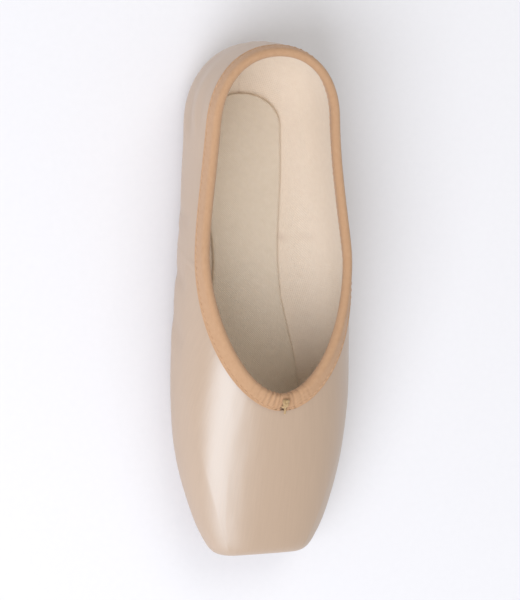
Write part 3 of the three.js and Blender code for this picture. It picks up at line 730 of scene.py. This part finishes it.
# Towards both of its ends the rod grows thinner and dips into the cloth
rod = points_mm(one_stitch.data)
bend = (rod[:, 0] / (STITCH_LENGTH / 2)) ** 2
rod[:, 1:] *= (1 - 0.35 * bend)[:, None]
rod[:, 2] += 0.14 - 0.42 * bend
rod_faces = [tuple(f.vertices) for f in one_stitch.data.polygons]
bpy.data.objects.remove(one_stitch)
print("one stitch:", len(rod_faces), "faces")


# %% Rows of stitches
def surface_of(piece):
    """A tree of a piece's faces, to find the nearest point of its surface."""
    faces = [tuple(face.vertices) for face in piece.data.polygons]
    return BVHTree.FromPolygons(points_mm(piece.data).tolist(), faces)


def stitch_row(name, surface, lines, pitch, scale=1, lift=0.0):
    """Lays copies of the stitch along lines, each turned to lie flat on the surface below it."""
    points, faces = [], []
    for line in lines:
        steps = np.linalg.norm(np.diff(line, axis=0), axis=1)
        starts = np.concatenate([[0], np.cumsum(steps)])
        count = max(1, round(starts[-1] / pitch))
        for k in range(count):
            at = (k + 0.5) * starts[-1] / count
            # The line's way is measured from just behind the stitch to just ahead of it
            behind, here, ahead = (np.array([np.interp(at + step, starts, line[:, axis]) for axis in range(3)])
                                   for step in (-0.4, 0, 0.4))
            spot, out, _, _ = surface.find_nearest(Vector(here))
            out = np.array(out)
            way = ahead - behind
            way -= out * (way @ out)
            way /= np.linalg.norm(way)
            sideways = np.cross(out, way)
            first = len(points)
            points += [np.array(spot) + lift * out + scale * (x * way + y * sideways + z * out)
                       for x, y, z in rod]
            faces += [tuple(v + first for v in face) for face in rod_faces]
    mesh = bpy.data.meshes.new(name)
    mesh.from_pydata((np.array(points) * MM).tolist(), [], faces)
    piece = bpy.data.objects.new(name, mesh)
    bpy.context.scene.collection.objects.link(piece)
    mesh.shade_smooth()
    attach(piece, "root")
    print(name, "stitches:", len(points) // len(rod), "faces:", len(faces))
    return piece


tape_surface = surface_of(binding)
tape_stitches = stitch_row("tape_stitches", tape_surface, stitch_lines, STITCH_PITCH)

# A few small brown stitches tack down the front edge of the tape, beside the eyelet and in front of it
TACK_LENGTH = 1.4
TACK_FRONT, TACK_CURVE, TACK_HEIGHT = -47.4, 0.03, 52.6
tack_lines = [np.array([(x + step, TACK_FRONT + TACK_CURVE * x * x, TACK_HEIGHT) for step in (0, TACK_LENGTH)])
              for x in (-4.6, -1.4, 2.2, 4.6)]
tack_stitches = stitch_row("tack_stitches", tape_surface, tack_lines, TACK_LENGTH, scale=0.5, lift=0.1)

# %% [markdown]
# ## Drawstring
# The drawstring comes out of the fold in the middle of the throat, where its two ends are knotted and cut
# short. A closed knot curve gives the turns of the cord, and a beveled curve gives it its thickness.

# %% Cord along a path
# The tape slopes down to the toe: one way lies forward along it, and the other points away from it
FORWARD = Vector((0, -0.966, -0.258))
OUTWARD = Vector((0, -0.258, 0.966))


def cord_piece(name, paths, thickness, node):
    """Makes a cord of round section through lists of points in millimetres."""
    curve = bpy.data.curves.new(name, "CURVE")
    curve.dimensions = "3D"
    curve.bevel_depth = thickness / 2 * MM
    curve.bevel_resolution = 4
    curve.resolution_u = 4
    curve.use_fill_caps = True
    for path, closed in paths:
        spline = curve.splines.new("NURBS")
        spline.points.add(len(path) - 1)
        for point, place in zip(spline.points, path):
            point.co = (*(Vector(place) * MM), 1)
        spline.order_u = 3
        spline.use_cyclic_u = closed
        spline.use_endpoint_u = not closed
    print(name, "cord lengths in mm:", [round(spline.calc_length() / MM, 1) for spline in curve.splines])
    piece = bpy.data.objects.new(name, curve)
    bpy.context.scene.collection.objects.link(piece)
    deselect_all()
    piece.select_set(True)
    bpy.context.view_layer.objects.active = piece
    bpy.ops.object.convert(target="MESH")
    piece = bpy.context.object
    piece.data.shade_smooth()
    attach(piece, "root")
    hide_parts(node)
    return piece


# %% Drawstring knot and end
# The knot is a trefoil curve in the place of its solid. Two strands run from it into the eyelet, and the cut
# end comes out from under it and lies on the tape towards the toe.
CORD_THICKNESS = 1.45
END_THICKNESS = 1.0
KNOT_WIDTH, KNOT_LENGTH, KNOT_HEIGHT = 0.38, 0.46, 0.45
KNOT_POINTS = 36
knot_low, knot_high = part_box("drawstring_knot")
knot_middle = (Vector(knot_low) + Vector(knot_high)) / 2 / MM


def by_knot(x, forward, out):
    """A place given in mm from the middle of the knot: sideways, forward along the tape, and away from it."""
    return knot_middle + Vector((x, 0, 0)) + forward * FORWARD + out * OUTWARD


knot_loop = []
for k in range(KNOT_POINTS):
    t = 2 * math.pi * k / KNOT_POINTS
    knot_loop.append(by_knot(KNOT_WIDTH * (math.sin(t) + 2 * math.sin(2 * t)),
                             KNOT_LENGTH * (2 * math.cos(2 * t) - math.cos(t)) - 0.35,
                             -KNOT_HEIGHT * math.sin(3 * t) - 0.2))
strands = [[by_knot(side * 0.15 - 0.1, 0.05, 0), by_knot(side * 0.3 - 0.3, 1.05, -0.15),
            by_knot(side * 0.25 - 0.5, 1.7, -0.75), by_knot(side * 0.2 - 0.6, 1.9, -1.8)] for side in (-1, 1)]
knot = cord_piece("knotted_cord", [(knot_loop, True)] + [(path, False) for path in strands], CORD_THICKNESS,
                  "drawstring_knot")
tail = [by_knot(0.25, 1.6, -1.45), by_knot(0.3, 2.5, -1.3), by_knot(0.3, 3.8, -1.25), by_knot(0.35, 5, -1.55)]
cord_end = cord_piece("cord_end", [(tail, False)], END_THICKNESS, "drawstring_end")
print("knot at", [round(v, 1) for v in knot_middle], "faces", len(knot.data.polygons))

# %% [markdown]
# ## Outsole and sock
# The outsole is one piece of leather, skived thin at its edge, glued and stitched on. The sock is a strip of
# cotton that lies on the turned-in edge inside. New plates could be cut from an outline, but copies of the flat
# solids keep it exactly. Their long thin triangles are turned into finer faces, which shade evenly.

# %% Finer faces for a flat plate
def plate_copy(node, name, cuts_across, cuts_all):
    """Copies a sole-shaped plate and cuts its faces into a fine grid: first each edge that runs straight from
    the left side to the right, and then every edge."""
    piece = merged_copy(node, name)
    bpy.ops.object.mode_set(mode="EDIT")
    bpy.ops.mesh.select_all(action="SELECT")
    bpy.ops.mesh.tris_convert_to_quads(face_threshold=math.radians(60), shape_threshold=math.pi)
    bpy.ops.mesh.select_all(action="DESELECT")
    bpy.ops.mesh.select_mode(type="EDGE")
    bpy.ops.object.mode_set(mode="OBJECT")
    places = points_mm(piece.data)
    for edge in piece.data.edges:
        a, b = (places[v] for v in edge.vertices)
        edge.select = bool(abs(a[0] + b[0]) < 0.01 < abs(a[0]) and abs(a[1] - b[1]) < 0.01)
    bpy.ops.object.mode_set(mode="EDIT")
    bpy.ops.mesh.subdivide(number_cuts=cuts_across)
    bpy.ops.mesh.select_all(action="SELECT")
    bpy.ops.mesh.subdivide(number_cuts=cuts_all)
    bpy.ops.object.mode_set(mode="OBJECT")
    piece.data.shade_smooth()
    print(name, "faces:", len(piece.data.polygons))
    return piece


# %% Outsole
# "edge" is 1 on the cut edge, where the normals lie flat, and 0 on the faces. It darkens the edge, partly as
# burnish and partly as painted shade.
outsole = plate_copy("outsole", "leather_outsole", 23, 2)
sole_normals = normals_of(outsole.data)
set_attribute(outsole.data, "edge", np.clip(1.25 - np.abs(sole_normals[:, 2]) * 1.25, 0, 1))
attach(outsole, "root")
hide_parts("outsole")

# %% Sock
sock = plate_copy("insole", "cotton_sock", 15, 1)
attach(sock, "root")
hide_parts("insole")

# %% [markdown]
# ## Materials
# Each material starts from what the real one is, with colours as sRGB hex values. Cloth coordinates in
# millimetres lie on the satin, the lining and the tape, so a thread stays the same width everywhere. Leather,
# sock and floor are flat, so plain object coordinates do for them. Painted image textures could show all of
# this too, but patterns made of nodes stay sharp at any distance.

# %% Helpers for shaders
def add_node(tree, kind, settings=None, links=None):
    """Adds one shader node, with its own settings, socket values and links."""
    node = tree.nodes.new(kind)
    for key, value in (settings or {}).items():
        if isinstance(key, str) and hasattr(node, key):
            setattr(node, key, value)
        else:
            node.inputs[key].default_value = value
    for socket, source in (links or {}).items():
        tree.links.new(source, node.inputs[socket])
    return node


def new_material(name, values):
    """A material with its surface shader, the shader's plain values, and its output."""
    material = bpy.data.materials.new(name)
    material.use_nodes = True
    tree = material.node_tree
    tree.nodes.clear()
    shader = add_node(tree, "ShaderNodeBsdfPrincipled", values)
    add_node(tree, "ShaderNodeOutputMaterial", links={"Surface": shader.outputs["BSDF"]})
    return material, tree, shader


def report(material):
    """Prints what a material is made of."""
    print(material.name, "nodes:", len(material.node_tree.nodes))


print("shader helpers ready")

# %% [markdown]
# ## Satin
# In satin weave long floats of shiny thread lie side by side along the shoe, so its gloss is broad, pale and
# streaky. Threads lie about 0.25 mm apart. They are drawn 0.7 mm wide and 16 mm long, so that they show at this
# size. A strong specular with a cool tint and a soft coat stands for the sheen of the floats over the yarn.

# %% Satin
THREAD_WIDTH, THREAD_FLOAT = 0.7, 16
SWELL_WIDTH, SWELL_LENGTH = 11, 26
SATIN_GLOSS = {
    "Specular IOR Level": 1, "IOR": 1.85, "Specular Tint": linear("d2e6ef"),
    "Anisotropic": 0.45, "Anisotropic Rotation": 0.25,
    "Coat Weight": 0.5, "Coat Roughness": 0.42,
}


def satin_material():
    """Satin with its threads along the cloth map, with painted shade in its troughs."""
    material, tree, shader = new_material("satin_weave", SATIN_GLOSS)
    uv = add_node(tree, "ShaderNodeUVMap", {"uv_map": "cloth"})
    thread_map = add_node(tree, "ShaderNodeMapping", {"Scale": (1 / THREAD_WIDTH, 1 / THREAD_FLOAT, 1)},
                          {"Vector": uv.outputs["UV"]})
    threads = add_node(tree, "ShaderNodeTexNoise", {"Scale": 1, "Detail": 2.5, "Roughness": 0.6},
                       {"Vector": thread_map.outputs["Vector"]})
    # Slight swells of the glued layers under the satin, a few centimetres long
    swell_map = add_node(tree, "ShaderNodeMapping", {"Scale": (1 / SWELL_WIDTH, 1 / SWELL_LENGTH, 1)},
                         {"Vector": uv.outputs["UV"]})
    swells = add_node(tree, "ShaderNodeTexNoise", {"Scale": 1, "Detail": 2, "Roughness": 0.5},
                      {"Vector": swell_map.outputs["Vector"]})
    thread_tone = add_node(tree, "ShaderNodeMix",
                           {"data_type": "RGBA", 6: linear("b5977b"), 7: linear("c0a286")},
                           {"Factor": threads.outputs["Fac"]})
    # Painted shade in the troughs of pleats, gathers, creases and seams
    trough_shade = add_node(tree, "ShaderNodeAttribute", {"attribute_name": "trough_shade"})
    trough_shade_share = add_node(tree, "ShaderNodeMath", {"operation": "MULTIPLY", 1: 0.72},
                          {0: trough_shade.outputs["Fac"]})
    tone = add_node(tree, "ShaderNodeMix", {"data_type": "RGBA", 7: linear("8e6a4e")},
                    {"Factor": trough_shade_share.outputs["Value"], 6: thread_tone.outputs[2]})
    rough = add_node(tree, "ShaderNodeMapRange", {"To Min": 0.42, "To Max": 0.52},
                     {"Value": threads.outputs["Fac"]})
    thread_relief = add_node(tree, "ShaderNodeBump", {"Strength": 0.3, "Distance": 0.06 * MM},
                             {"Height": threads.outputs["Fac"]})
    swell_relief = add_node(tree, "ShaderNodeBump", {"Strength": 0.5, "Distance": 0.6 * MM},
                            {"Height": swells.outputs["Fac"], "Normal": thread_relief.outputs["Normal"]})
    tangent = add_node(tree, "ShaderNodeTangent", {"direction_type": "UV_MAP", "uv_map": "cloth"})
    tree.links.new(tone.outputs[2], shader.inputs["Base Color"])
    tree.links.new(rough.outputs["Result"], shader.inputs["Roughness"])
    tree.links.new(swell_relief.outputs["Normal"], shader.inputs["Normal"])
    tree.links.new(tangent.outputs["Tangent"], shader.inputs["Tangent"])
    return material


satin = satin_material()
report(satin)

# %% [markdown]
# ## Cotton
# The tape, the lining, the sock, the cord and the threads are cotton, which is matte with a faint fuzz. Twill
# and drill show slanting ribs, and plain weave a grid of small bumps. A sine wave across the cloth draws them,
# because its pitch can be given in millimetres.

# %% Cotton
COTTON_SURFACE = {"Roughness": 0.85, "Specular IOR Level": 0.3, "Sheen Weight": 0.25, "Sheen Roughness": 0.5}
FUZZ_SIZE = 2.6


def cotton_material(name, low, high, pitch, depth, twill=False, trough_shade_colour=None, eyelet_shade_colour=None):
    """Cotton between two tones, with the pitch and depth of its weave in millimetres. Cloth with painted shade
    in its troughs reads the cloth map, and all other cotton its object coordinates."""
    material, tree, shader = new_material(name, COTTON_SURFACE)
    if trough_shade_colour:
        place = add_node(tree, "ShaderNodeUVMap", {"uv_map": "cloth"}).outputs["UV"]
    else:
        coordinates = add_node(tree, "ShaderNodeTexCoord")
        in_mm = add_node(tree, "ShaderNodeMapping", {"Scale": (1 / MM,) * 3},
                         {"Vector": coordinates.outputs["Object"]})
        place = in_mm.outputs["Vector"]
    axes = add_node(tree, "ShaderNodeSeparateXYZ", links={"Vector": place})
    directions = [axes.outputs["X"], axes.outputs["Y"]]
    if twill:
        slant = add_node(tree, "ShaderNodeMath", {"operation": "ADD"}, {0: directions[0], 1: directions[1]})
        directions = [slant.outputs["Value"]]
    waves = []
    for direction in directions:
        angle = add_node(tree, "ShaderNodeMath", {"operation": "MULTIPLY", 1: 2 * math.pi / pitch},
                         {0: direction})
        waves.append(add_node(tree, "ShaderNodeMath", {"operation": "SINE"}, {0: angle.outputs["Value"]}))
    wave = waves[0]
    if not twill:
        wave = add_node(tree, "ShaderNodeMath", {"operation": "MULTIPLY"},
                        {0: waves[0].outputs["Value"], 1: waves[1].outputs["Value"]})
    fuzz = add_node(tree, "ShaderNodeTexNoise", {"Scale": 1 / FUZZ_SIZE, "Detail": 4, "Roughness": 0.65},
                    {"Vector": place})
    blend = add_node(tree, "ShaderNodeMath", {"operation": "MULTIPLY_ADD", 1: 0.1},
                     {0: wave.outputs["Value"], 2: fuzz.outputs["Fac"]})
    tone = add_node(tree, "ShaderNodeMix", {"data_type": "RGBA", 6: linear(low), 7: linear(high)},
                    {"Factor": blend.outputs["Value"]})
    # Each colour of painted shade has the name of its attribute and its strength
    for attribute, strength, colour in (("trough_shade", 0.6, trough_shade_colour), ("eyelet_shade", 1, eyelet_shade_colour)):
        if colour:
            amount = add_node(tree, "ShaderNodeAttribute", {"attribute_name": attribute})
            share = add_node(tree, "ShaderNodeMath", {"operation": "MULTIPLY", 1: strength},
                             {0: amount.outputs["Fac"]})
            tone = add_node(tree, "ShaderNodeMix", {"data_type": "RGBA", 7: linear(colour)},
                            {"Factor": share.outputs["Value"], 6: tone.outputs[2]})
    weave = add_node(tree, "ShaderNodeBump", {"Strength": 0.6, "Distance": depth * MM},
                     {"Height": wave.outputs["Value"]})
    fluff = add_node(tree, "ShaderNodeBump", {"Strength": 0.4, "Distance": 0.15 * MM},
                     {"Height": fuzz.outputs["Fac"], "Normal": weave.outputs["Normal"]})
    tree.links.new(tone.outputs[2], shader.inputs["Base Color"])
    tree.links.new(fluff.outputs["Normal"], shader.inputs["Normal"])
    return material


# The trough colours are painted shade in seams and puckers, and the tape's eyelet colour is painted shade in
# its hole
lining_drill = cotton_material("lining_cotton_drill", "e2d2bf", "ede0cf", 1.1, 0.08, trough_shade_colour="b89c8c")
tape_twill = cotton_material("peach_cotton_twill_tape", "b98f6b", "caa481", 0.8, 0.1, twill=True,
                             trough_shade_colour="86603f", eyelet_shade_colour="4a2f18")
sock_drill = cotton_material("sock_cotton_drill", "d8cab6", "e5d9c8", 1.0, 0.08, twill=True)
cord_cotton = cotton_material("natural_cotton_cord", "a88a60", "c8ab80", 0.7, 0.12, twill=True)
tape_thread = cotton_material("peach_thread", "c49c78", "d0ab89", 0.5, 0.05)
tack_thread = cotton_material("brown_thread", "8a6a44", "9c7c52", 0.5, 0.05)
for cotton in (lining_drill, tape_twill, sock_drill, cord_cotton, tape_thread, tack_thread):
    report(cotton)

# %% [markdown]
# ## Sole leather
# Vegetable-tanned leather is buffed to a short nap on the bottom. Its cut edge is darker, partly burnished and
# partly painted shade. A plain oval ring is pressed into it under the ball of the foot. The ring is flat and
# shallow, so it is drawn in the material, as the distance from its middle.

# %% Sole leather
LEATHER_SURFACE = {"Roughness": 0.72, "Specular IOR Level": 0.35}
GRAIN_SIZE, BLOTCH_SIZE = 0.9, 22
SCUFF_WIDTH, SCUFF_LENGTH, SCUFF_ANGLE = 1.2, 26, 0.35
RING_MIDDLE_Y = -52
RING_HALF_WIDTH = 15.5
RING_HALF_LENGTH = 31
RING_LINE = 0.018


def leather_material():
    """Buffed leather with grain, blotches, scuffs, the pressed ring and a darker edge, partly burnish and
    partly painted shade.
    """
    material, tree, shader = new_material("buffed_sole_leather", LEATHER_SURFACE)
    coordinates = add_node(tree, "ShaderNodeTexCoord")
    place = coordinates.outputs["Object"]
    grain = add_node(tree, "ShaderNodeTexNoise",
                     {"Scale": 1 / (GRAIN_SIZE * MM), "Detail": 5, "Roughness": 0.7}, {"Vector": place})
    blotches = add_node(tree, "ShaderNodeTexNoise",
                        {"Scale": 1 / (BLOTCH_SIZE * MM), "Detail": 3, "Roughness": 0.55}, {"Vector": place})
    scuff_map = add_node(tree, "ShaderNodeMapping",
                         {"Scale": (1 / (SCUFF_WIDTH * MM), 1 / (SCUFF_LENGTH * MM), 1),
                          "Rotation": (0, 0, SCUFF_ANGLE)}, {"Vector": place})
    scuffs = add_node(tree, "ShaderNodeTexNoise", {"Scale": 1, "Detail": 3, "Roughness": 0.6},
                      {"Vector": scuff_map.outputs["Vector"]})
    nap = add_node(tree, "ShaderNodeMix", {"data_type": "RGBA", 6: linear("c3b1a4"), 7: linear("d8c9be")},
                   {"Factor": grain.outputs["Fac"]})
    blotch_share = add_node(tree, "ShaderNodeMath", {"operation": "MULTIPLY", 1: 0.5},
                            {0: blotches.outputs["Fac"]})
    scuff_share = add_node(tree, "ShaderNodeMapRange", {"From Min": 0.56, "From Max": 0.78, "To Max": 0.32},
                           {"Value": scuffs.outputs["Fac"]})
    # Distance from the middle of the ring on the flat of the sole, where 1 lies on the ring
    ring_map = add_node(tree, "ShaderNodeMapping",
                        {"Location": (0, -RING_MIDDLE_Y / RING_HALF_LENGTH, 0),
                         "Scale": (1 / (RING_HALF_WIDTH * MM), 1 / (RING_HALF_LENGTH * MM), 0)},
                        {"Vector": place})
    from_middle = add_node(tree, "ShaderNodeVectorMath", {"operation": "LENGTH"},
                           {0: ring_map.outputs["Vector"]})
    pressed = add_node(tree, "ShaderNodeMath", {"operation": "COMPARE", 1: 1, 2: RING_LINE},
                       {0: from_middle.outputs["Value"]})
    ring_share = add_node(tree, "ShaderNodeMath", {"operation": "MULTIPLY", 1: 0.45},
                          {0: pressed.outputs["Value"]})
    # Darker edge: partly burnish of the leather, partly painted shade
    edge = add_node(tree, "ShaderNodeAttribute", {"attribute_name": "edge"})
    # Blotches, scuffs, the ring and the darker edge, partly burnish and partly painted shade, are laid over the
    # nap in turn
    tone = nap
    for share, colour in ((blotch_share.outputs["Value"], "bca793"), (scuff_share.outputs["Result"], "a39385"),
                          (ring_share.outputs["Value"], "a58f7c"), (edge.outputs["Fac"], "7c624b")):
        tone = add_node(tree, "ShaderNodeMix", {"data_type": "RGBA", 7: linear(colour)},
                        {"Factor": share, 6: tone.outputs[2]})
    nap_relief = add_node(tree, "ShaderNodeBump", {"Strength": 0.5, "Distance": 0.12 * MM},
                          {"Height": grain.outputs["Fac"]})
    ring_relief = add_node(tree, "ShaderNodeBump", {"Strength": 0.7, "Distance": 0.3 * MM, "invert": True},
                           {"Height": pressed.outputs["Value"], "Normal": nap_relief.outputs["Normal"]})
    tree.links.new(tone.outputs[2], shader.inputs["Base Color"])
    tree.links.new(ring_relief.outputs["Normal"], shader.inputs["Normal"])
    return material


sole_leather = leather_material()
report(sole_leather)

# %% [markdown]
# ## Floor paper
# Seamless paper is white, even and matte, with a trace of fibre.

# %% Floor paper
PAPER_SURFACE = {"Roughness": 0.9, "Specular IOR Level": 0.2}
FIBRE_SIZE = 3


def paper_material():
    """White paper with a faint mottle."""
    material, tree, shader = new_material("seamless_paper", PAPER_SURFACE)
    coordinates = add_node(tree, "ShaderNodeTexCoord")
    fibre = add_node(tree, "ShaderNodeTexNoise", {"Scale": 1 / (FIBRE_SIZE * MM), "Detail": 3},
                     {"Vector": coordinates.outputs["Object"]})
    tone = add_node(tree, "ShaderNodeMix", {"data_type": "RGBA", 6: linear("ececef"), 7: linear("efeff2")},
                    {"Factor": fibre.outputs["Fac"]})
    tree.links.new(tone.outputs[2], shader.inputs["Base Color"])
    return material


paper = paper_material()
report(paper)

# %% [markdown]
# ## Dressing the pieces
# Each piece takes its materials in the order of its slots. The upper has two: satin outside and lining inside.

# %% Each piece gets its materials
def finish_with(piece, *materials):
    """Gives a piece its materials in the order of its slots."""
    for k, material in enumerate(materials):
        if k < len(piece.data.materials):
            piece.data.materials[k] = material
        else:
            piece.data.materials.append(material)


finish_with(upper, satin, lining_drill)
finish_with(binding, tape_twill)
finish_with(tape_stitches, tape_thread)
finish_with(tack_stitches, tack_thread)
finish_with(knot, cord_cotton)
finish_with(cord_end, cord_cotton)
finish_with(sock, sock_drill)
finish_with(outsole, sole_leather)
finish_with(floor, paper)
print("materials:", sorted(material.name for material in bpy.data.materials if material.users))
